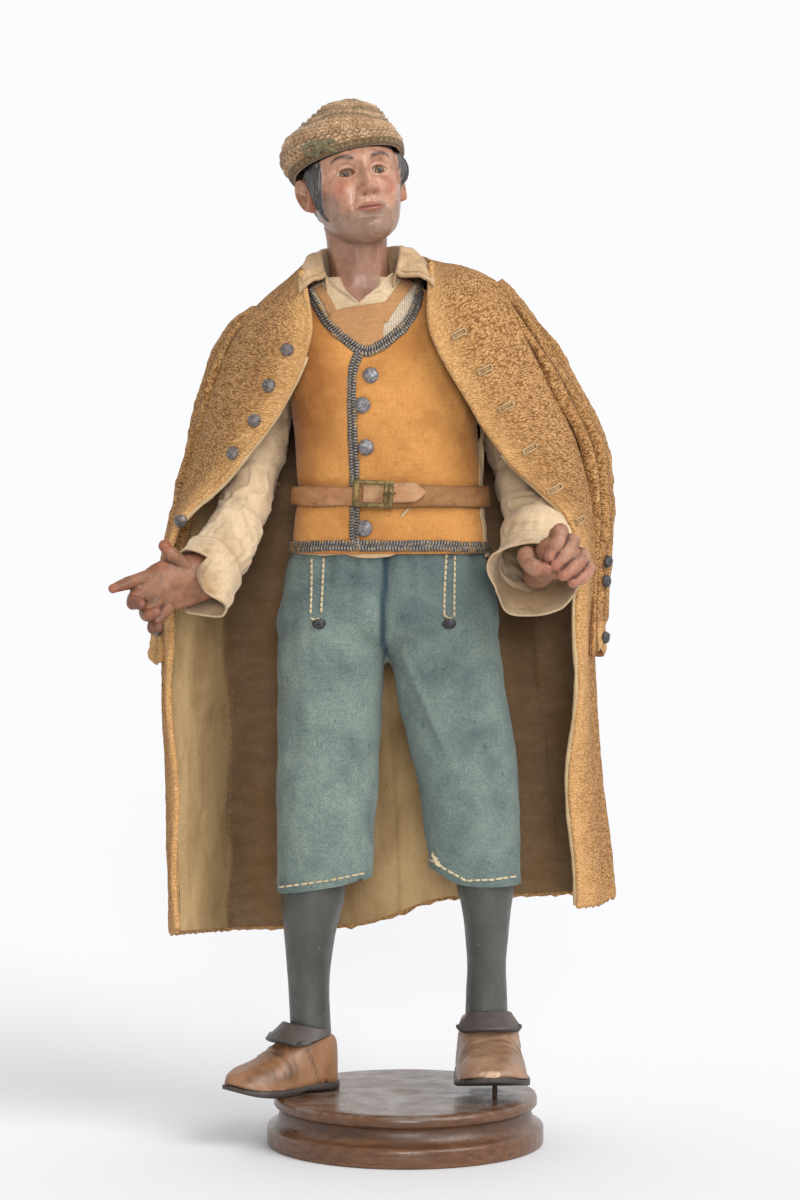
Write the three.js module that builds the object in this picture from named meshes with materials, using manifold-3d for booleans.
// A presepe figure: a man in a knitted cap, waistcoat and breeches, with a coat over his shoulders,
// standing on a turned wooden plinth. Millimetres, +Z up, the figure faces -Y, and the underside of
// the plinth lies at Z 0 with its centre at the origin. His right side is at -X.
import * as THREE from "three";
import { mergeVertices } from "three/addons/utils/BufferGeometryUtils.js";
import Module from "manifold-3d";

const wasm = await Module();
wasm.setup();

// Driving dimensions
const GAP = 0.3; // clear space between two neighbouring pieces
const PLINTH_HEIGHT = 20.5;
const PLINTH_FOOT_RADIUS = 57;
const PLINTH_TOP_RADIUS = 54.3;
const PLINTH_NECK_RADIUS = 51.9;
const PIN_RADIUS = 1.05;
const PIN_SPOT = [36.7, -9];
const PIN_DEPTH = 8; // how far the pin goes into the wood at either end
const LEFT_SOLE_LIFT = 6; // the left shoe stands this far above the plinth on its pin
const SOLE_THICKNESS = 3;
const CLOTH = 1.4; // waistcoat cloth with its lining
const BRAID = 1.0;
const BRAID_WIDTH = 4.5;
const BELT = 1.3;
const BELT_LOW = 262.1;
const BELT_HIGH = 271;
const COAT_CLOTH = 2.6;
const WAISTCOAT_HEM = 243.4;
const BREECHES_TOP = 262.3;
const BREECHES_FLOOR_CUT = 14.2; // depth of the hollow in each breeches leg
const BUTTON_RADIUS = 3.3;

// Colours, roughness and metalness of the materials
const FINISH = {
  plinth_wood: { color: 0x5e4030, roughness: 0.42, metalness: 0 },
  iron: { color: 0x3a302b, roughness: 0.6, metalness: 0.8 },
  painted_leg: { color: 0x555b52, roughness: 0.5, metalness: 0 },
  breeches_linen: { color: 0x5a8288, roughness: 0.92, metalness: 0 },
  shirt_linen: { color: 0xc6b08c, roughness: 0.95, metalness: 0 },
  waistcoat_cloth: { color: 0xc8863c, roughness: 0.9, metalness: 0 },
  metal_braid: { color: 0x5d5650, roughness: 0.55, metalness: 0.5 },
  brown_cloth: { color: 0xa97a4e, roughness: 0.93, metalness: 0 },
  leather: { color: 0x9a6438, roughness: 0.6, metalness: 0 },
  brass: { color: 0x7f6534, roughness: 0.4, metalness: 0.9 },
  painted_terracotta: { color: 0x8f6150, roughness: 0.32, metalness: 0 },
  knit: { color: 0xa98a58, roughness: 0.95, metalness: 0 },
  coat_wool: { color: 0xb07d3e, roughness: 0.96, metalness: 0 },
  pewter: { color: 0x4b4c52, roughness: 0.45, metalness: 0.75 },
};

const vec = (x, y, z) => new THREE.Vector3(x, y, z);

// The closed mesh as a solid, with its faces turned outwards.
function solid(geometry) {
  const bare = geometry.clone();
  for (const name of Object.keys(bare.attributes))
    if (name !== "position") bare.deleteAttribute(name);
  const merged = mergeVertices(bare, 1e-4);
  const vertProperties = new Float32Array(merged.attributes.position.array);
  const corners = Array.from(merged.index.array);
  let triVerts = [];
  for (let i = 0; i < corners.length; i += 3) {
    const [a, b, c] = corners.slice(i, i + 3);
    if (a !== b && b !== c && c !== a) triVerts.push(a, b, c);
  }
  const make = () =>
    new wasm.Manifold(
      new wasm.Mesh({ numProp: 3, vertProperties, triVerts: new Uint32Array(triVerts) }),
    );
  let made = make();
  if (made.volume() < 0) {
    for (let i = 0; i < triVerts.length; i += 3)
      [triVerts[i + 1], triVerts[i + 2]] = [triVerts[i + 2], triVerts[i + 1]];
    made = make();
  }
  return made;
}

function indexed(position, index) {
  return new THREE.BufferGeometry()
    .setAttribute("position", new THREE.Float32BufferAttribute(position, 3))
    .setIndex(index);
}

// Several solids joined into one.
const join = (...parts) => parts.reduce((whole, part) => whole.add(part));
const cut = (whole, ...parts) => parts.reduce((left, part) => left.subtract(part), whole);

// A table of rows whose first number is the key; between the rows every other number runs smoothly.
function table(rows) {
  const last = rows.length - 1;
  const slope = (i, k) => {
    const a = rows[Math.max(i - 1, 0)];
    const b = rows[Math.min(i + 1, last)];
    return (b[k] - a[k]) / (b[0] - a[0]);
  };
  return (key) => {
    const x = Math.min(Math.max(key, rows[0][0]), rows[last][0]);
    let i = 0;
    while (i < last - 1 && x > rows[i + 1][0]) i++;
    const [p, q] = [rows[i], rows[i + 1]];
    const span = q[0] - p[0];
    const t = (x - p[0]) / span;
    return p.slice(1).map((_, j) => {
      const k = j + 1;
      return (
        p[k] * (2 * t ** 3 - 3 * t ** 2 + 1) +
        q[k] * (3 * t ** 2 - 2 * t ** 3) +
        span * slope(i, k) * (t ** 3 - 2 * t ** 2 + t) +
        span * slope(i + 1, k) * (t ** 3 - t ** 2)
      );
    });
  };
}

const power = (value, exponent) => Math.sign(value) * Math.abs(value) ** exponent;

// A ring of points at one height: a squared ellipse round a centre.
function oval(cx, cy, z, a, b, sides, squareness = 2) {
  return Array.from({ length: sides }, (_, i) => {
    const angle = (i / sides) * 2 * Math.PI;
    return vec(
      cx + a * power(Math.cos(angle), 2 / squareness),
      cy + b * power(Math.sin(angle), 2 / squareness),
      z,
    );
  });
}

// A closed skin over rings with the same number of points, flat at both ends.
function loft(rings) {
  const n = rings[0].length;
  const position = rings.flat().flatMap((p) => p.toArray());
  const index = [];
  for (let r = 0; r + 1 < rings.length; r++)
    for (let i = 0; i < n; i++) {
      const [a, b] = [r * n + i, r * n + ((i + 1) % n)];
      index.push(a, b, b + n, a, b + n, a + n);
    }
  for (const end of [0, rings.length - 1]) {
    const middle = rings[end].reduce((s, p) => s.add(p), vec(0, 0, 0)).divideScalar(n);
    const hub = position.length / 3;
    position.push(...middle.toArray());
    for (let i = 0; i < n; i++) {
      const [a, b] = [end * n + i, end * n + ((i + 1) % n)];
      if (end) index.push(a, b, hub);
      else index.push(b, a, hub);
    }
  }
  return solid(indexed(position, index));
}

// The same rings moved out along their own surface normals.
function grown(rings, distance) {
  if (!distance) return rings;
  const n = rings[0].length;
  const normals = rings.map((ring, r) => {
    const [above, below] = [rings[Math.min(r + 1, rings.length - 1)], rings[Math.max(r - 1, 0)]];
    return ring.map((_, i) => {
      const around = ring[(i + 1) % n].clone().sub(ring[(i + n - 1) % n]);
      const along = above[i].clone().sub(below[i]);
      return around.cross(along).normalize();
    });
  });
  const middle = rings[1].reduce((s, p) => s.add(p), vec(0, 0, 0)).divideScalar(n);
  const outward = normals[1][0].dot(rings[1][0].clone().sub(middle)) > 0 ? 1 : -1;
  return rings.map((ring, r) =>
    ring.map((p, i) => p.clone().addScaledVector(normals[r][i], outward * distance)),
  );
}

// A sheet of cloth: an open grid of points given a thickness to both sides.
function sheet(grid, thickness) {
  const [rows, columns] = [grid.length, grid[0].length];
  const at = (r, c) =>
    grid[Math.min(Math.max(r, 0), rows - 1)][Math.min(Math.max(c, 0), columns - 1)];
  const position = [];
  for (const side of [0.5, -0.5])
    for (let r = 0; r < rows; r++)
      for (let c = 0; c < columns; c++) {
        const down = at(r + 1, c).clone().sub(at(r - 1, c));
        const across = at(r, c + 1).clone().sub(at(r, c - 1));
        const normal = down.cross(across).normalize();
        position.push(
          ...at(r, c)
            .clone()
            .addScaledVector(normal, side * thickness)
            .toArray(),
        );
      }
  const index = [];
  const lower = rows * columns;
  const quad = (a, b, c, d) => index.push(a, b, c, a, c, d);
  for (let r = 0; r + 1 < rows; r++)
    for (let c = 0; c + 1 < columns; c++) {
      const a = r * columns + c;
      const [b, e, f] = [a + 1, a + columns, a + columns + 1];
      quad(a, e, f, b);
      quad(a + lower, b + lower, f + lower, e + lower);
    }
  for (let c = 0; c + 1 < columns; c++) {
    quad(c, c + 1, c + 1 + lower, c + lower);
    const a = (rows - 1) * columns + c;
    quad(a + 1, a, a + lower, a + 1 + lower);
  }
  for (let r = 0; r + 1 < rows; r++) {
    const a = r * columns;
    quad(a + columns, a, a + lower, a + columns + lower);
    const b = a + columns - 1;
    quad(b, b + columns, b + columns + lower, b + lower);
  }
  return solid(indexed(position, index));
}

// A limb: rows of x, y, z and two radii along a smooth line. The first radius lies across `up`.
function limbRings(rows, up, sides, steps, roundTip = false) {
  const curve = new THREE.CatmullRomCurve3(rows.map(([x, y, z]) => vec(x, y, z)));
  const last = rows.length - 1;
  const radii = table(rows.map((row, i) => [i / last, row[3], row[4]]));
  const ring = (t, shrink = 1, push = 0) => {
    const tangent = curve.getTangent(t);
    const across = up.clone().cross(tangent).normalize();
    const rise = tangent.clone().cross(across);
    const centre = curve.getPoint(t).addScaledVector(tangent, push);
    const [ra, rb] = radii(t);
    return Array.from({ length: sides }, (_, i) => {
      const angle = (i / sides) * 2 * Math.PI;
      return centre
        .clone()
        .addScaledVector(across, ra * shrink * Math.cos(angle))
        .addScaledVector(rise, rb * shrink * Math.sin(angle));
    });
  };
  const rings = Array.from({ length: steps + 1 }, (_, i) => ring(i / steps));
  if (roundTip) {
    const reach = (rows[last][3] + rows[last][4]) / 2;
    rings.push(ring(1, 0.55, reach * 0.8));
  }
  return rings;
}
const limb = (...settings) => loft(limbRings(...settings));

// A bar whose four-cornered section follows a line seen from the front, deep in Y, for cutting
// bands out of a cloth surface.
function frontBand(line, width, [near, far], closed = false) {
  const points = line.map(([x, z]) => new THREE.Vector2(x, z));
  const n = points.length;
  const rings = points.map((p, i) => {
    const before = points[closed ? (i + n - 1) % n : Math.max(i - 1, 0)];
    const after = points[closed ? (i + 1) % n : Math.min(i + 1, n - 1)];
    const along = after.clone().sub(before).normalize();
    const side = new THREE.Vector2(-along.y, along.x).multiplyScalar(width / 2);
    return [
      [side.x, near],
      [-side.x, near],
      [-side.x, far],
      [side.x, far],
    ].map(([dx, y], k) => vec(p.x + dx, y, p.y + (k === 0 || k === 3 ? side.y : -side.y)));
  });
  return loft(rings);
}

// A flat outline seen from the front, pushed through in Y.
function frontPlate(outline, near, far) {
  const shape = new THREE.Shape(outline.map(([x, z]) => new THREE.Vector2(x, z)));
  const plate = new THREE.ExtrudeGeometry(shape, { depth: far - near, bevelEnabled: false });
  plate.rotateX(Math.PI / 2);
  plate.translate(0, far, 0);
  return solid(plate);
}

function box(x0, x1, y0, y1, z0, z1) {
  const made = new THREE.BoxGeometry(x1 - x0, y1 - y0, z1 - z0);
  made.translate((x0 + x1) / 2, (y0 + y1) / 2, (z0 + z1) / 2);
  return solid(made);
}

function smooth(line, count) {
  const curve = new THREE.SplineCurve(line.map(([x, z]) => new THREE.Vector2(x, z)));
  return curve.getPoints(count).map((p) => [p.x, p.y]);
}

const range = (count) => Array.from({ length: count }, (_, i) => i);

// Plinth: a disc, a hollow and a thinner top disc, turned in one piece.
function makePlinth(pin) {
  const profile = [
    [0, 0],
    [PLINTH_FOOT_RADIUS, 0],
    [PLINTH_FOOT_RADIUS, 7],
    [PLINTH_FOOT_RADIUS - 1, 8.1],
    [PLINTH_NECK_RADIUS + 2.2, 9.2],
    [PLINTH_NECK_RADIUS + 0.5, 12],
    [PLINTH_NECK_RADIUS, 15.9],
    [PLINTH_TOP_RADIUS - 0.8, 16.3],
    [PLINTH_TOP_RADIUS, 17.8],
    [PLINTH_TOP_RADIUS, 19.4],
    [PLINTH_TOP_RADIUS - 1.2, PLINTH_HEIGHT],
    [0, PLINTH_HEIGHT],
  ].map(([r, z]) => new THREE.Vector2(r, z));
  const turned = new THREE.LatheGeometry(profile, 28);
  turned.rotateX(Math.PI / 2);
  return cut(solid(turned), pin);
}

// The iron pin that carries the left foot.
function makePin(extra = 0) {
  const low = PLINTH_HEIGHT - PIN_DEPTH - extra;
  const high = PLINTH_HEIGHT + LEFT_SOLE_LIFT + PIN_DEPTH + extra;
  const rod = new THREE.CylinderGeometry(PIN_RADIUS + extra, PIN_RADIUS + extra, high - low, 10);
  rod.rotateX(Math.PI / 2);
  rod.translate(...PIN_SPOT, (low + high) / 2);
  return solid(rod);
}

// Each leg is carved in one piece: stocking, shoe, sole and the wide flap over the instep.
// Rows run from the hidden top down to the ankle: z, centre x, centre y, half width, half depth.
const LEG_TOP = 117;
const LEGS = {
  right: {
    stocking: [
      [LEG_TOP, -37.2, 3, 13, 13.8],
      [101, -38, 3.4, 13, 14.2],
      [92, -39, 4.2, 11.6, 13.4],
      [80, -39.8, 6, 9.9, 11.6],
      [68, -40, 7.6, 8.8, 10],
      [57, -39.8, 8.8, 8.4, 9.2],
      [38, -39, 9.6, 8.6, 9.4],
    ],
    ankle: [-39, 9.6],
    turn: -53, // degrees that the toe is turned out from straight ahead
    ground: PLINTH_HEIGHT + GAP,
    widths: [9.8, 11, 11.8, 12.2, 11.2, 7.4, 2.6],
  },
  left: {
    stocking: [
      [LEG_TOP, 32.6, 3, 12, 13],
      [105, 33, 3.2, 11.8, 13],
      [97, 33.4, 4, 10.4, 12.4],
      [85, 33.7, 5.6, 8.9, 10.8],
      [72, 33.6, 7.2, 8, 9.4],
      [62, 33.6, 8.4, 8.4, 9],
      [44, 33.9, 9.4, 9, 9.4],
    ],
    ankle: [34.2, 9.8],
    turn: 2.5,
    ground: PLINTH_HEIGHT + LEFT_SOLE_LIFT,
    widths: [11.8, 13.6, 14.4, 14.8, 14, 11, 6.4],
  },
};

// Shoe rows, heel to toe: distance ahead of the ankle, half width, height of the upper, toe spring.
function shoeRows([heel, waist, instep, ball, toe, cap, tip]) {
  return [
    [-9, 4, 13, 0],
    [-7.6, 6.6, 19, 0],
    [-4.6, 8.6, 22.3, 0],
    [0, heel, 22.4, 0.5],
    [8, waist, 21, 0.4],
    [16, instep, 17.2, 0],
    [25, ball, 13.6, 0],
    [33, toe, 11.4, 1],
    [38.5, cap, 9.6, 2.4],
    [41.6, tip, 8, 3.6],
  ];
}

const FLAP_COLUMNS = 6;

function makeLeg({ stocking, ankle, turn, ground, widths }, pin) {
  const heading = THREE.MathUtils.degToRad(turn);
  const place = (ahead, side, height) =>
    vec(
      ankle[0] + ahead * Math.sin(heading) - side * Math.cos(heading),
      ankle[1] - ahead * Math.cos(heading) - side * Math.sin(heading),
      ground + height,
    );
  const rows = shoeRows(widths);
  const sides = 10;
  const upper = rows.map(([ahead, half, high, spring]) => {
    const low = SOLE_THICKNESS * 0.6 + spring;
    return range(sides).map((i) => {
      const angle = (i / sides) * 2 * Math.PI;
      const [c, s] = [Math.cos(angle), Math.sin(angle)];
      const rise = s > 0 ? (high - low) * s ** 0.9 : 0.6 * s;
      const width = half * power(c, s > 0 ? 0.72 : 0.5) * (s > 0 ? 1 - 0.16 * s : 1);
      return place(ahead, width, low + 0.6 + rise);
    });
  });
  const sole = rows.map(([ahead, half, , spring]) => {
    const reach = ahead > 0 ? ahead + 0.7 : ahead - 0.5;
    const [low, high] = [spring, SOLE_THICKNESS + spring];
    return [
      place(reach, half + 0.5, low),
      place(reach, half + 0.7, high),
      place(reach, -half - 0.7, high),
      place(reach, -half - 0.5, low),
    ];
  });
  const legAt = table(stocking.slice().reverse());
  const heights = stocking.map((row) => row[0]);
  const shaft = loft(
    heights.map((z) => {
      const [cx, cy, a, b] = legAt(z);
      return oval(cx, cy, z, a, b, 10, 2.1);
    }),
  );
  // The flap: a wide tongue folded forward over the instep, bent round the front of the ankle.
  const flapRow = (ahead, height, half, drop) =>
    range(FLAP_COLUMNS + 1).map((i) => {
      const t = (2 * i) / FLAP_COLUMNS - 1;
      return place(ahead - 5.5 * Math.abs(t) ** 2.4, half * t, height - drop * Math.abs(t) ** 2);
    });
  const flap = sheet(
    [
      flapRow(10, 28.6, 10, 1),
      flapRow(15, 26, 12.6, 1.8),
      flapRow(19.4, 20.4, 14.4, 1.6),
    ],
    2,
  );
  const filling = limb(
    [
      [...place(-1, 0, 14).toArray(), 10, 9],
      [...place(5, 0, 19).toArray(), 10, 8],
      [...place(13.5, 0, 21).toArray(), 10.4, 5],
    ],
    vec(0, 0, 1),
    7,
    2,
  );
  return cut(join(loft(upper), loft(sole), shaft, filling, flap), pin);
}

// The man's trunk: z, centre x, centre y, half width, half depth at the outside of the waistcoat.
const TRUNK = table([
  [238, -6.5, 0, 41, 25.4],
  [244, -6.5, 0, 40.5, 25],
  [256, -6.3, 0, 39, 24],
  [269, -6.2, 0, 38.2, 23],
  [285, -7.2, 0, 37.2, 23.6],
  [300, -8.5, 0, 38, 25],
  [318, -11.2, 0, 40.6, 24.4],
  [330, -12.8, 0, 41.6, 22],
  [339, -14.2, 0.3, 39.5, 19.4],
  [346, -15.6, 0.7, 33, 17],
  [351, -16.4, 1, 26, 15],
  [355.5, -17, 1.2, 19, 13.4],
]);
const TRUNK_SQUARENESS = 2.5;
const TRUNK_SIDES = 20;

function trunkRings(levels, distance, sides = TRUNK_SIDES) {
  const rings = levels.map((z) => {
    const [cx, cy, a, b] = TRUNK(z);
    return oval(cx, cy, z, a, b, sides, TRUNK_SQUARENESS);
  });
  return grown(rings, distance);
}

const TRUNK_LEVELS = [243.4, 264, 296, 322, 337, 348, 355.5];

// A layer that wraps the trunk, from one distance outside the waistcoat to another.
function layer(inner, outer) {
  const levels = [241.5, ...TRUNK_LEVELS.slice(1, -1), 355.4];
  const hollow = [236, ...TRUNK_LEVELS.slice(1, -1), 355.4];
  const core = loft(trunkRings(hollow, inner));
  return cut(loft(trunkRings(levels, outer)), core, box(-70, 50, -50, 50, 354.2, 380));
}

// Arms of the shirt, shoulder to cuff: x, y, z, half width, half height.
const ARMS = {
  right: [
    [-44, 2, 336.6, 9, 9],
    [-52, 4, 324, 11.4, 11.4],
    [-58, 6, 300, 11.6, 11.6],
    [-60.5, 5.5, 279, 12.2, 12],
    [-63.5, -6, 262.5, 12.8, 12.6],
    [-69.5, -22, 249, 12.6, 12.6],
    [-76.5, -34, 237.5, 13.6, 14.2],
    [-79.5, -38, 234, 14.4, 14.8],
  ],
  left: [
    [22, 2, 340, 9, 9],
    [30, 3, 325, 10.2, 10.2],
    [39, 4.5, 300, 11, 11],
    [47, 5, 279, 11.6, 11.8],
    [51, -5, 262, 12.4, 12.4],
    [52.4, -20, 248, 13.4, 13.2],
    [52, -32, 238.4, 16.4, 15.6],
    [51.8, -39.6, 234, 18.8, 17],
  ],
};
const CUFF_DEPTH = 12;

const arm = (rows) => limb(rows, vec(0, 0, 1), 10, 7);

// The hollow of a cuff, so that the wrist goes in.
function cuffHollow(rows) {
  const curve = new THREE.CatmullRomCurve3(rows.map(([x, y, z]) => vec(x, y, z)));
  const end = curve.getPoint(1);
  const out = curve.getTangent(1);
  const [a, b] = rows.at(-1).slice(3);
  const spot = (distance) => end.clone().addScaledVector(out, distance).toArray();
  return limb(
    [
      [...spot(-CUFF_DEPTH), a - 4, b - 4],
      [...spot(-CUFF_DEPTH / 2), a - 2.4, b - 2.4],
      [...spot(1), a - 1.4, b - 1.4],
    ],
    vec(0, 0, 1),
    10,
    2,
  );
}

// Shirt collar: a folded band round the neck, open in front with two spread points.
// Rows go round from the right point by the nape to the left point: base, fold and edge positions.
const COLLAR = [
  // base x, y, z | fold x, y, z | edge x, y, z
  [-31.5, -13.6, 349.5, -31.8, -14.2, 355.2, -42.6, -22.6, 347.6],
  [-32.4, -9, 352, -33.2, -9.4, 359.5, -42.8, -16.5, 352],
  [-32.8, -2, 354, -33.8, -2, 364, -42.2, -4, 357.4],
  [-31.6, 6, 355.4, -32.6, 6.6, 366.6, -38.6, 9, 359.4],
  [-26.6, 12.6, 356, -27.2, 13.6, 367.6, -30.6, 18, 360.6],
  [-18.4, 15.4, 356, -18.6, 16.6, 368, -18.8, 21.4, 361],
  [-10.2, 12.8, 356, -9.8, 13.8, 368.2, -7, 18.2, 361],
  [-5, 6.4, 355.6, -4, 7, 368.2, 2.4, 9.4, 360.4],
  [-3.8, -2, 354.4, -2.6, -2, 367.4, 7.4, -4, 358.8],
  [-4, -9, 352.4, -3, -9.4, 362, 10, -16.5, 353.6],
  [-5, -13.6, 350.4, -4.4, -14.2, 356, 10.8, -22.6, 349.6],
];

function makeCollar(extra = 0) {
  const rings = COLLAR.map(([bx, by, bz, fx, fy, fz, ex, ey, ez]) => {
    const [base, fold, edge] = [vec(bx, by, bz), vec(fx, fy, fz), vec(ex, ey, ez)];
    const outward = edge.clone().sub(fold).setZ(0).normalize();
    const thin = 1.1 + extra;
    edge.addScaledVector(outward, extra).add(vec(0, 0, extra));
    return [
      base.clone(),
      fold.clone(),
      fold.clone().addScaledVector(outward, thin),
      edge.clone(),
      edge.clone().add(vec(0, 0, -thin - 2 * extra)),
      fold.clone().addScaledVector(outward, thin).add(vec(0, 0, -thin * 1.6 - 2 * extra)),
      base.clone().addScaledVector(outward, thin * 2.2),
    ];
  });
  return loft(rings);
}

// Head, in its own frame: the origin is midway between the ears, the face looks along -Y.
// Rows: height, centre y, half width, half depth.
const HEAD_ROWS = table([
  [-28, -12.6, 4.6, 4.4],
  [-26.4, -11, 8.6, 8],
  [-23, -8.2, 12.8, 12],
  [-17, -4.4, 15.9, 16.2],
  [-9, -1.8, 17.4, 18.6],
  [0, 0, 18.2, 20.2],
  [8, 0.8, 18.4, 20.6],
  [16, 1.2, 16.6, 18.8],
  [22, 1.5, 13, 15],
  [26.4, 1.8, 7.4, 8.6],
]);
const HEAD_SPOT = [-21.4, -1.5, 394.6];
// Degrees: the head leans back, tips to his right shoulder and turns to his left.
const HEAD_TILT = { back: 9, side: -8, turn: 15 };
const NECK = [
  [338, -17.6, 0.4, 16, 13.6],
  [345, -17.8, 0.8, 14.6, 13.2],
  [351, -18, 1.4, 12.8, 12],
  [358, -18.4, 1.6, 12.2, 11.6],
  [366, -19.4, 1.2, 12.2, 12],
  [376, -20.6, 1, 12.6, 13],
];

const bell = (x, centre, width) => Math.exp(-(((x - centre) / width) ** 2));

// Height of the features above the plain egg, at a point x across and h up the front of the face.
function relief(x, h) {
  const ax = Math.abs(x);
  const ridge = h > -9 ? Math.min(Math.max((7 - h) / 14, 0), 1) : 0;
  const nose = (1.4 + 5 * ridge) * bell(x, 0, 2.1 + 1.3 * ridge) * bell(h, -3.6, 8.2);
  const wings = 1.5 * bell(ax, 3.2, 1.7) * bell(h, -8.2, 2);
  const brow = 1.3 * bell(ax, 7.4, 5) * bell(h, 6.6, 2.6);
  const socket = -1.9 * bell(ax, 7.4, 4) * bell(h, 1.4, 3.2);
  const lid = 1.2 * bell(ax, 7.4, 2.9) * bell(h, 1, 1.9);
  const cheek = 1.1 * bell(ax, 10.6, 4.4) * bell(h, -6.5, 5);
  const lips = 1.5 * bell(x, 0, 5.2) * bell(h, -14.6, 2.4);
  const chin = 1.7 * bell(x, 0, 5) * bell(h, -23.4, 3.6);
  const crease = -0.9 * bell(x, 0, 4.6) * bell(h, -18.6, 1.6);
  return nose + wings + brow + socket + lid + cheek + lips + chin + crease;
}

const HAIR = { right: 2, left: 4.4 }; // how thick the hair stands on either side

// Hair stands proud of the skull at the sides and back, with a lock before each ear.
function hair(x, y, h) {
  const step = (value, edge, width) => 1 / (1 + Math.exp(-(value - edge) / width));
  const behind = step(y, 5 - (h + 6) * 0.35, 1.2) * step(h, -15, 1.4);
  const lock = bell(y, -4.6, 3) * step(h, -11, 1.2) * step(Math.abs(x), 13, 1);
  return Math.max(behind, lock);
}

const toWorld = new THREE.Matrix4()
  .makeTranslation(...HEAD_SPOT)
  .multiply(new THREE.Matrix4().makeRotationY(THREE.MathUtils.degToRad(HEAD_TILT.side)))
  .multiply(new THREE.Matrix4().makeRotationZ(THREE.MathUtils.degToRad(HEAD_TILT.turn)))
  .multiply(new THREE.Matrix4().makeRotationX(THREE.MathUtils.degToRad(-HEAD_TILT.back)));

// The cap's rim is lower at his right and at the back, and presses the hair flat above it.
const CAP_RIM = { x: -23.2, y: 1.6, z: 401, rise: 0.26, fall: 0.24 };

// How far a point lies below the rim.
function rimHeight({ x, y, z }) {
  return CAP_RIM.z + CAP_RIM.rise * (x - CAP_RIM.x) - CAP_RIM.fall * (y - CAP_RIM.y) - z;
}

function skullRings(levels, sides) {
  return levels.map((h) => {
    const [cy, a, b] = HEAD_ROWS(h);
    return range(sides).map((i) => {
      const angle = (i / sides) * 2 * Math.PI;
      const [c, s] = [power(Math.cos(angle), 0.93), power(Math.sin(angle), 0.93)];
      let [x, y] = [a * c, cy + b * s];
      const proud = s < -0.2 ? relief(x, h) * Math.min(1, (-s - 0.2) * 3) : 0;
      const free = Math.min(Math.max((rimHeight(vec(x, y, h).applyMatrix4(toWorld)) + 1) / 2.5, 0), 1);
      const push = proud + (x > 0 ? HAIR.left : HAIR.right) * hair(x, y, h) * free;
      return vec(x + push * c * 0.8, y + push * s, h).applyMatrix4(toWorld);
    });
  });
}

function ear(side) {
  const shell = limb(
    [
      [side * 17, 3.4, -9, 1.6, 1.4],
      [side * 18.6, 3.2, -6, 2.6, 1.8],
      [side * 20.4, 4, 0, 3.4, 2],
      [side * 21, 4.6, 4.6, 2.6, 1.6],
    ].map(([x, y, z, a, b]) => [...vec(x, y, z).applyMatrix4(toWorld).toArray(), a, b]),
    vec(side, 0.3, 0),
    6,
    4,
    true,
  );
  return shell;
}

const HEAD_LEVELS = [-28, -26, -22.4, -18.6, -14.8, -11.8, -8.6, -4.6, -0.6, 2.6, 6.6, 12, 20, 26.4];
const HEAD_SIDES = 22;

function makeHead() {
  const neckAt = table(NECK);
  const neck = loft(
    NECK.map(([z]) => {
      const [cx, cy, a, b] = neckAt(z);
      return oval(cx, cy, z, a, b, 12);
    }),
  );
  return join(loft(skullRings(HEAD_LEVELS, HEAD_SIDES)), neck, ear(-1), ear(1));
}

function neckHole() {
  const neckAt = table(NECK);
  return loft(
    [337.6, 345, 351, 358, 366].map((z) => {
      const [cx, cy, a, b] = neckAt(z);
      return oval(cx, cy, z, a + GAP * 1.4, b + GAP * 1.4, 12);
    }),
  );
}

// Knitted cap. Rows: height above the rim, centre x, half width, half depth, and how much of the
// rim's slope the row keeps.
const CAP_ROWS = table([
  [0, -23.6, 22.4, 22.8, 1],
  [2.6, -24.4, 23.5, 23.6, 1],
  [7, -26.5, 23.8, 24.5, 0.84],
  [12, -26.5, 21.2, 23.2, 0.54],
  [17, -25.3, 16.8, 19, 0.28],
  [21.4, -23.8, 13, 14, 0.12],
  [24.4, -22.8, 8.4, 9, 0],
  [25.5, -22.4, 3, 3.2, 0],
]);
const CAP_CLOTH = 1.5;
const CAP_SIDES = 16;

function capRings(levels, distance) {
  const rings = levels.map((rise) => {
    const [cx, a, b, keep] = CAP_ROWS(rise);
    return oval(cx, CAP_RIM.y, 0, a, b, CAP_SIDES, 2.1).map((p) => {
      const slope = CAP_RIM.rise * (p.x - CAP_RIM.x) - CAP_RIM.fall * (p.y - CAP_RIM.y);
      const below = Math.min(rise, 0);
      return vec(p.x, p.y, CAP_RIM.z + (rise > 0 ? rise : below) + slope * keep);
    });
  });
  return grown(rings, distance);
}

function makeCap(head) {
  const outer = loft(capRings([0, 3, 8, 13.5, 19, 23.4, 25.5], 0));
  const rings = capRings([0, 8, 17, 24.4], -CAP_CLOTH);
  rings.unshift(rings[0].map((p) => p.clone().add(vec(0, 0, -4))));
  return cut(outer, loft(rings), head);
}

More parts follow.
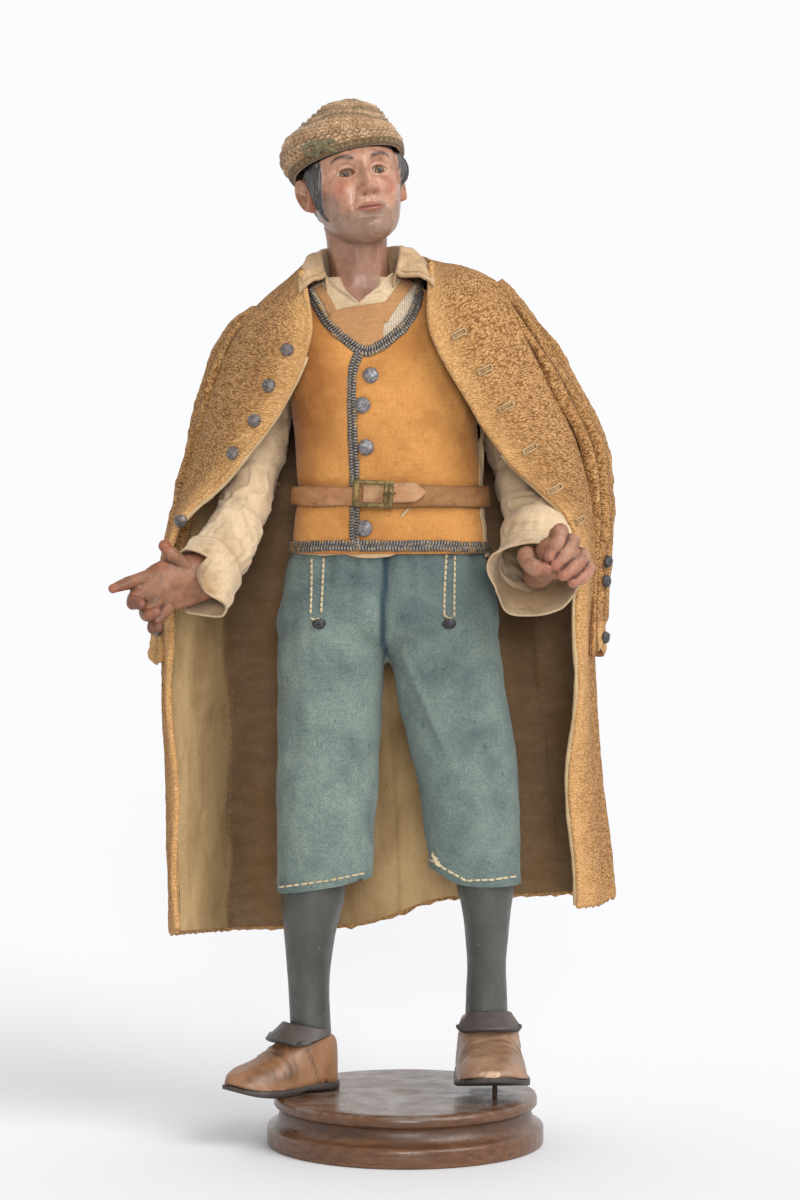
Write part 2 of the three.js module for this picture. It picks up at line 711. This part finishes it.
// Hands. Every finger: rows of x, y, z, half width, half height.
const HANDS = {
  right: {
    palm: [
      [-73.8, -33.4, 236.2, 5.4, 6.8],
      [-80, -38, 235, 6, 9.4],
      [-86.5, -40.6, 233.6, 5.6, 10.2],
      [-94, -43.4, 231.6, 5, 10.4],
      [-101, -45.8, 229, 4.2, 9],
      [-104.6, -47, 228.4, 3, 6.6],
    ],
    fingers: [
      [
        [-88, -43, 239.6, 3.2, 3.2],
        [-92.6, -45.4, 243.6, 2.8, 2.8],
        [-95.6, -46.6, 247.2, 2.5, 2.5],
      ],
      [
        [-99, -45.4, 235.6, 2.9, 2.9],
        [-106, -48, 234, 2.7, 2.7],
        [-112, -50, 231.8, 2.4, 2.4],
        [-115.8, -51.4, 230.4, 1.9, 1.9],
      ],
      [
        [-101.6, -46.6, 230, 3, 3],
        [-107, -49.4, 226.8, 2.9, 2.9],
        [-107.4, -53.4, 225, 2.7, 2.7],
        [-104.6, -55.6, 224.4, 2.4, 2.4],
      ],
      [
        [-98.6, -46.4, 225.4, 2.9, 2.9],
        [-102.6, -49.6, 220.8, 2.8, 2.8],
        [-101.6, -53.6, 220, 2.6, 2.6],
        [-98.8, -55.2, 221.4, 2.3, 2.3],
      ],
      [
        [-94.6, -45.4, 222.4, 2.6, 2.6],
        [-99.4, -48, 216.8, 2.5, 2.5],
        [-99.8, -51.2, 215, 2.4, 2.4],
        [-98, -53, 215, 2.1, 2.1],
      ],
    ],
  },
  left: {
    palm: [
      [54.2, -32, 237, 6, 6.4],
      [55.4, -40, 239.6, 6.4, 7],
      [58.2, -47, 242.4, 7.6, 8.6],
      [61.8, -52.4, 243.6, 7.4, 8.6],
      [64, -55.4, 243.6, 5, 6],
    ],
    fingers: [
      [
        [47.8, -48, 243.6, 3.4, 3.4],
        [48.6, -54, 240.4, 3.4, 3.4],
        [52.2, -58.4, 238.6, 3.1, 3.1],
        [55, -60.2, 238.4, 2.6, 2.6],
      ],
      [
        [59.6, -49, 251.6, 3.2, 3.2],
        [61, -55, 253, 3.1, 3.1],
        [59.4, -59.4, 248.4, 3, 3],
        [56.6, -60, 243.6, 2.6, 2.6],
      ],
      [
        [64, -49, 248.4, 3.2, 3.2],
        [65.6, -55, 249, 3.1, 3.1],
        [62.8, -59.6, 244.4, 3, 3],
        [59, -60.2, 240.2, 2.6, 2.6],
      ],
      [
        [67, -48.6, 243.4, 3.1, 3.1],
        [69.6, -54.4, 243.6, 3, 3],
        [66.4, -59, 239.4, 2.9, 2.9],
        [62, -59.8, 236, 2.5, 2.5],
      ],
      [
        [67.6, -47.4, 238, 2.9, 2.9],
        [72, -52.6, 238.6, 2.8, 2.8],
        [69.6, -56.6, 235.2, 2.7, 2.7],
        [66, -57.6, 233.2, 2.3, 2.3],
      ],
    ],
  },
};

const palmLimb = (palm, extra = 0) =>
  limb(
    palm.map(([x, y, z, a, b]) => [x, y, z, a + extra, b + extra]),
    vec(0, 0, 1),
    8,
    4,
    true,
  );

function makeHand({ palm, fingers }) {
  const up = vec(0, 0, 1);
  const digits = fingers.map((rows) => {
    const straight = vec(...rows.at(-1).slice(0, 3)).sub(vec(...rows[0].slice(0, 3)));
    const side = Math.abs(straight.z) > 0.8 * straight.length() ? vec(0, 1, 0) : up;
    return limb(rows, side.clone().add(vec(0.13, 0.31, 0)), 6, rows.length - 1, true);
  });
  return join(palmLimb(palm), ...digits);
}

// Breeches. Rows from the top down: z, centre x, centre y, half width, half depth.
const SEAT = table([
  [202.4, -7, 0, 43.6, 19.4],
  [208, -7, 0, 45.4, 22],
  [214, -6.8, 0, 45.4, 23.2],
  [224, -6.5, 0, 44.4, 23.6],
  [233, -6.5, 0, 43, 23.6],
  [239.4, -6.5, 0, 41.2, 23.4],
]);
const SEAT_LEVELS = [239.4, 230, 217, 207, 202.4];
const LEG_CLOTH = 1.2;
const BREECHES_LEGS = {
  right: {
    rows: [
      [104, -33.6, 2, 19.6, 18],
      [125, -33.2, 1.6, 20, 18],
      [146, -32.5, 1, 20.8, 18.3],
      [165, -31.8, 0.6, 21.2, 18.8],
      [183, -31, 0.2, 21.6, 20],
      [201, -30.4, 0, 21.6, 21.4],
      [214, -29.4, 0, 21.4, 22],
      [226, -28.4, 0, 19.6, 20],
    ],
    hem: (x) => 103.4 + (x + 53) * 0.17,
  },
  left: {
    rows: [
      [106, 28.2, 2, 19.4, 18],
      [125, 27.2, 1.6, 19.8, 18],
      [142, 26.2, 1, 20.3, 18.3],
      [162, 24, 0.6, 21.6, 18.8],
      [183, 19.4, 0.2, 22.8, 20],
      [201, 15.8, 0, 24, 21.4],
      [214, 13.6, 0, 23.4, 22],
      [226, 12.6, 0, 21.6, 20],
    ],
    hem: (x) => 107.2 + 7.6 * bell(x, 6, 11),
  },
};

function breechesLegRings({ rows, hem }, drop, extra) {
  const at = table(rows);
  const nominal = rows[0][0];
  const [, floor] = [rows.at(-1)[0], nominal];
  const levels = drop === null ? rows.map((row) => row[0]) : [floor, floor + 6, floor + drop];
  return levels.map((z) => {
    const [cx, cy, a, b] = at(z);
    return oval(cx, cy, z, a + extra, b + extra, 15, 2.2).map((p) => {
      const share = Math.max(0, 1 - (z - nominal) / 22);
      return vec(p.x, p.y, z + (hem(p.x) - nominal) * share);
    });
  });
}

function makeBreeches() {
  const seat = loft([
    ...trunkRings([BREECHES_TOP, 252, 243.2], -CLOTH - 2 * GAP),
    ...SEAT_LEVELS.map((z) => {
      const [cx, cy, a, b] = SEAT(z);
      return oval(cx, cy, z, a, b, TRUNK_SIDES, TRUNK_SQUARENESS);
    }),
  ]);
  const legs = Object.values(BREECHES_LEGS).map((leg) => loft(breechesLegRings(leg, null, 0)));
  const hollows = Object.values(BREECHES_LEGS).map((leg) => {
    const rings = breechesLegRings(leg, BREECHES_FLOOR_CUT, -LEG_CLOTH);
    rings.unshift(rings[0].map((p) => p.clone().add(vec(0, 0, -6))));
    return loft(rings);
  });
  return cut(join(seat, ...legs), ...hollows);
}

// Waistcoat neckline and braid lines as seen from the front: x, z.
const NECKLINE = [
  [-40.4, 358],
  [-38.6, 349],
  [-35, 342.3],
  [-31.4, 336.6],
  [-25, 330.4],
  [-18.8, 325.8],
  [-14.4, 325],
  [-6.4, 329.6],
  [1.4, 337.4],
  [4.6, 345],
  [6.6, 358],
];
const FRONT_EDGE = [
  [-17.4, 325],
  [-20.6, 319],
  [-22, 313],
  [-21.2, 293],
  [-20, 274],
  [-20.2, 243],
];
const FRONT = [-60, 2];

function neckOpening(reach) {
  const line = smooth(NECKLINE, 13);
  const middle = -16;
  const outline = line.map(([x, z]) => {
    const k = reach / Math.hypot(x - middle, z - 352);
    return [x + (x - middle) * k, z + (z - 352) * k];
  });
  return frontPlate(outline.concat([[8, 380], [-44, 380]]).reverse(), FRONT[0], FRONT[1]);
}

// The back of the neck is cut round, a little below the shirt collar.
function napeOpening() {
  const rings = [346, 352, 362].map((z) => oval(-17.6, 2, z, 15 + (z - 346) * 0.9, 15, 14));
  return loft(rings);
}

function makeWaistcoat() {
  const armholes = [
    [-36, -80],
    [14, 60],
  ].map(([inside, outside]) =>
    limb(
      [
        [inside, 3.2, 320.6, 17, 26],
        [outside, 3.2, 318, 20, 30],
      ],
      vec(0, 0, 1),
      9,
      1,
    ),
  );
  return cut(
    layer(-CLOTH, 0),
    box(-70, 50, -40, 40, 230, WAISTCOAT_HEM),
    neckOpening(-1.6),
    napeOpening(),
    ...armholes,
  );
}

function makeWaistcoatBraid() {
  const neckline = frontBand(smooth(NECKLINE, 11), BRAID_WIDTH, FRONT);
  const edge = frontBand(smooth(FRONT_EDGE, 6), BRAID_WIDTH, FRONT);
  const hem = box(-70, 50, -40, 40, WAISTCOAT_HEM + 0.9, WAISTCOAT_HEM + 5.4);
  const bands = join(neckline, edge, hem);
  return cut(
    layer(GAP, GAP + BRAID).intersect(bands),
    box(-70, 50, -60, 60, 350, 380),
  );
}

// A cloth band across the chest with two straps, seen in the opening of the waistcoat.
function makeBraces() {
  const band = frontPlate(
    [
      [-28.4, 337],
      [-28, 331.4],
      [-19, 327],
      [-13.8, 326.6],
      [-7.6, 330.4],
      [-7, 339.6],
      [-17.6, 338.6],
    ],
    ...FRONT,
  );
  const straps = [
    frontBand([[-26.6, 334], [-30.6, 342], [-35, 349.6]], 3.6, FRONT),
    frontBand([[-9.4, 335], [-4.4, 345], [0.6, 353.8]], 4.4, FRONT),
  ];
  const cloth = layer(-CLOTH, -CLOTH + 1).intersect(join(band, ...straps));
  return cut(cloth.intersect(neckOpening(-2.2)), box(-70, 50, -60, 60, 348.8, 380));
}

function makeShirt(hollows) {
  const body = loft(trunkRings([BREECHES_TOP + 0.5, ...TRUNK_LEVELS.slice(2)], -CLOTH - GAP));
  const arms = Object.values(ARMS).map((rows) => arm(rows));
  return cut(join(body, ...arms, makeCollar()), ...hollows);
}

// Belt: a strap round the waistcoat, with its pointed end lying over the other side.
const BUCKLE = { x: [-21.2, -4.9], z: [262.2, 273.2], bar: 2.1, lean: -3 };

function makeBelt() {
  const [inner, outer] = [GAP * 2 + BRAID, GAP * 2 + BRAID + BELT];
  const strap = layer(inner, outer).intersect(box(-70, 50, -60, 60, BELT_LOW, BELT_HIGH));
  const tongue = frontPlate(
    [
      [-16, 264.2],
      [4, 264],
      [8.2, 267.8],
      [4, 272.6],
      [-16, 271.4],
    ],
    ...FRONT,
  );
  const end = layer(outer - 0.5, outer + BELT).intersect(tongue);
  return join(strap, end);
}

function makeBuckle() {
  const { x, z, bar, lean } = BUCKLE;
  const rectangle = ([x0, x1], [z0, z1]) => [
    [x0, z0],
    [x1, z0],
    [x1, z1],
    [x0, z1],
  ];
  const front = -31.6;
  const frame = frontPlate(rectangle(x, z), front, front + 1.5);
  const hole = frontPlate(
    rectangle([x[0] + bar, x[1] - bar], [z[0] + bar, z[1] - bar]),
    front - 1,
    front + 3,
  );
  const prong = box(x[0] + 1, x[1] - 0.6, front - 0.9, front + 0.5, 267, 268.4);
  const turned = join(frame.subtract(hole), prong);
  const geometry = geometryOf(turned);
  geometry.translate(13, 0, -267.6);
  geometry.rotateY(THREE.MathUtils.degToRad(-lean));
  geometry.translate(-13, 0, 267.6);
  return solid(geometry);
}

// Coat, hung over the shoulders. Each row is a level from the neckline to the hem, and goes round
// from the right front edge by the back to the left front edge: x, y, z of the middle of the cloth.
const COAT = [
  [
    [-42, -14.6, 357.2], [-41.8, -6, 359], [-39.4, 6, 361], [-31, 18, 364.4], [-17, 22.8, 366.6],
    [-2, 19, 366], [8.4, 6.6, 362.8], [10.4, -5, 361.4], [10.4, -14.6, 360.6],
  ],
  [
    [-38.6, -27.4, 332.4], [-51.4, -22, 336.4], [-64, 2, 339.4], [-48, 24, 345], [-15, 30, 348],
    [19, 26, 350], [37.8, 2, 352], [25.4, -22, 343], [10.6, -29, 333.4],
  ],
  [
    [-48.6, -28.4, 306], [-63.4, -24, 307], [-78, 4, 310], [-56, 31, 310], [-13, 35, 312],
    [36, 32, 312], [58.4, 4, 311.4], [43.4, -25, 307.6], [26.6, -30, 303.4],
  ],
  [
    [-66.6, -27.6, 280.4], [-76, -22, 280], [-84.6, 4, 281], [-62, 34, 281], [-13, 38.6, 282],
    [44, 36, 282], [71.4, 6, 281], [58.8, -21.6, 281], [41.4, -29.4, 281],
  ],
  [
    [-92.4, -21.6, 252], [-94, -12, 252], [-92, 6, 252], [-68, 36, 252], [-13, 41.6, 252],
    [48, 38, 252], [75.4, 8, 252], [74, -9.4, 253], [67, -17.4, 254],
  ],
  [
    [-95.6, -15.6, 202], [-97.2, -6, 202], [-95, 9, 202], [-71, 38.6, 202], [-13, 45, 202],
    [50, 42, 202], [75.2, 12, 203], [74.6, -4, 203], [70.6, -15, 203.4],
  ],
  [
    [-94.4, -12, 147], [-95.4, -3, 147], [-94, 11, 147], [-73, 42, 147], [-13, 49, 147],
    [53, 46.6, 148], [79, 16, 149], [77.4, -1.6, 150], [68, -11.6, 148],
  ],
  [
    [-93.4, -10, 90], [-94.8, -1, 90], [-93.6, 12, 90], [-75, 44.6, 90], [-13, 52, 90],
    [56, 49, 90], [84.4, 18, 90], [81, 1.4, 90], [71, -8, 90],
  ],
];
const COAT_COLUMNS = 24;
const COAT_LEVELS = 9;
// The lower edge, round the hem from the right front edge (0) to the left front edge (1): height.
const COAT_HEM = table([
  [0, 90.4],
  [0.125, 88.4],
  [0.25, 86],
  [0.375, 82.8],
  [0.48, 83.2],
  [0.516, 88],
  [0.535, 92.4],
  [0.555, 95.2],
  [0.625, 97.2],
  [0.75, 101.4],
  [0.875, 100],
  [1, 99],
]);

// A smooth net through the rows above, with soft vertical folds below the shoulders.
function coatGrid(columns, levels) {
  const points = COAT.map((row) => row.map((p) => vec(...p)));
  const along = points[0].map(
    (_, c) => new THREE.CatmullRomCurve3(points.map((row) => row[c]), false, "catmullrom", 0.5),
  );
  return range(levels + 1).map((r) => {
    const v = r / levels;
    const row = new THREE.CatmullRomCurve3(
      along.map((curve) => curve.getPoint(v)),
      false,
      "catmullrom",
      0.5,
    );
    return range(columns + 1).map((c) => {
      const u = c / columns;
      const p = row.getPoint(u);
      p.z += (COAT_HEM(u)[0] - 90) * Math.max(0, (v - 0.8) * 5) ** 1.5;
      const inward = vec(-12, 4, p.z).sub(p).normalize();
      const fold = 2.2 * Math.sin(u * 23 + 0.8) * Math.min(1, Math.max(0, (v - 0.3) * 2));
      return p.addScaledVector(inward, fold * Math.sin(Math.PI * u));
    });
  });
}

// The coat's sleeves hang empty and flat outside the arms: x, y, z, half thickness, half width.
const COAT_SLEEVES = {
  right: [
    [-57.6, 4, 341.6, 4, 10],
    [-68, 7, 333, 5.2, 12],
    [-78.4, 10, 309, 5.4, 13],
    [-86, 12, 281, 5, 13],
    [-93, 11, 252, 4.8, 12.6],
    [-98, 9, 224, 4.4, 12],
    [-101, 7, 198, 4.2, 12.4],
  ],
  left: [
    [36, 4, 352.6, 4.2, 10],
    [47, 5, 338.6, 5.4, 12],
    [63.6, 8, 313, 6, 13.4],
    [77, 10, 285, 6, 13.6],
    [80, 10, 262, 5.6, 13],
    [78.6, 9, 232, 5, 12.4],
    [77.6, 7, 202, 4.6, 12.8],
  ],
};

function makeCoat() {
  const body = sheet(coatGrid(COAT_COLUMNS, COAT_LEVELS), COAT_CLOTH);
  const sleeves = Object.values(COAT_SLEEVES).map((rows) => limb(rows, vec(0, 1, 0), 7, 6));
  return cut(join(body, ...sleeves), makeCollar(GAP));
}

// A domed button facing away from the cloth, on a short shank where it stands off it.
function makeButton(spot, facing, lift = 0, radius = BUTTON_RADIUS) {
  const profile = [
    ...(lift ? [[0, -0.9 - lift], [0.8, -0.9 - lift], [0.8, -0.75]] : [[0, -0.9]]),
    [radius, -0.6],
    [radius * 0.72, 1.2],
    [0, 1.7],
  ].map(([r, h]) => new THREE.Vector2(r, h));
  const dome = new THREE.LatheGeometry(profile, 8);
  const turn = new THREE.Quaternion().setFromUnitVectors(vec(0, 1, 0), facing.clone().normalize());
  dome.applyQuaternion(turn);
  const centre = spot.clone().addScaledVector(facing, 0.9 + lift + GAP);
  dome.translate(centre.x, centre.y, centre.z);
  return solid(dome);
}

// Each button: the piece that it is sewn to, a point outside it, the way from there to the cloth,
// and how far it stands off the cloth.
const FORWARD = vec(0, 1, 0);
const INWARD = vec(-1, 0.55, 0);
const BUTTONS = {
  waistcoat_button_1: ["waistcoat", vec(-14, -60, 315.2), FORWARD],
  waistcoat_button_2: ["waistcoat", vec(-17.2, -60, 303.2), FORWARD, 1.3],
  waistcoat_button_3: ["waistcoat", vec(-15.8, -60, 286.4), FORWARD, 1.3],
  waistcoat_button_4: ["waistcoat", vec(-16.4, -60, 253.6), FORWARD, 1.3],
  breeches_button_1: ["breeches", vec(-34.7, -60, 214.9), FORWARD, 0.3],
  breeches_button_2: ["breeches", vec(17.6, -60, 215), FORWARD, 0.3],
  coat_button_1: ["coat", vec(-47.4, -60, 325.4), FORWARD],
  coat_button_2: ["coat", vec(-54.8, -60, 311), FORWARD],
  coat_button_3: ["coat", vec(-60.6, -60, 297), FORWARD],
  coat_button_4: ["coat", vec(-69, -60, 283.8), FORWARD, 0.5],
  coat_button_5: ["coat", vec(-90.6, -60, 257), FORWARD, 0.5],
  coat_button_6: ["coat", vec(-100.4, -60, 211.6), FORWARD, 1.6],
  cuff_button_1: ["coat", vec(120, -20, 239.6), INWARD],
  cuff_button_2: ["coat", vec(120, -21, 231.6), INWARD],
  cuff_button_3: ["coat", vec(120, -22, 208.4), INWARD],
};

// The first point of a piece that a line meets, and the way its face looks there.
function surfaceAt(name, from, way) {
  const target = figure.getObjectByName(name);
  const [hit] = new THREE.Raycaster(from, way.clone().normalize()).intersectObject(target);
  return [hit.point, hit.face.normal.clone()];
}

function geometryOf(made) {
  const mesh = made.getMesh();
  const n = mesh.numProp;
  const position = [];
  for (let i = 0; i < mesh.numVert; i++)
    position.push(...mesh.vertProperties.subarray(i * n, i * n + 3));
  return indexed(position, Array.from(mesh.triVerts));
}

const figure = new THREE.Group();

function add(name, made, finish) {
  const geometry = geometryOf(made);
  geometry.computeVertexNormals();
  const mesh = new THREE.Mesh(geometry, new THREE.MeshStandardMaterial(FINISH[finish]));
  mesh.name = name;
  figure.add(mesh);
}

const pinHole = makePin(GAP);
const throat = frontPlate(
  [
    [-30, 357],
    [-18.6, 344.6],
    [-6, 358],
  ],
  ...FRONT,
);
const leftWrist = palmLimb(HANDS.left.palm, GAP);
const cuffs = Object.values(ARMS).map(cuffHollow);
const shirt = makeShirt([...cuffs, leftWrist, neckHole(), throat]);
const head = makeHead();

add("plinth", makePlinth(pinHole), "plinth_wood");
add("support_pin", makePin(), "iron");
add("leg_right", makeLeg(LEGS.right, pinHole), "painted_leg");
add("leg_left", makeLeg(LEGS.left, pinHole), "painted_leg");
add("breeches", makeBreeches(), "breeches_linen");
add("shirt", shirt, "shirt_linen");
add("waistcoat", makeWaistcoat(), "waistcoat_cloth");
add("waistcoat_braid", makeWaistcoatBraid(), "metal_braid");
add("braces", makeBraces(), "brown_cloth");
add("belt", makeBelt(), "leather");
add("buckle", makeBuckle(), "brass");
add("head", head, "painted_terracotta");
add("cap", makeCap(head), "knit");
add("hand_right", makeHand(HANDS.right), "painted_terracotta");
add("hand_left", makeHand(HANDS.left), "painted_terracotta");
add("coat", makeCoat(), "coat_wool");
for (const [name, [cloth, from, way, lift]] of Object.entries(BUTTONS))
  add(name, makeButton(...surfaceAt(cloth, from, way), lift), "pewter");

export default figure;
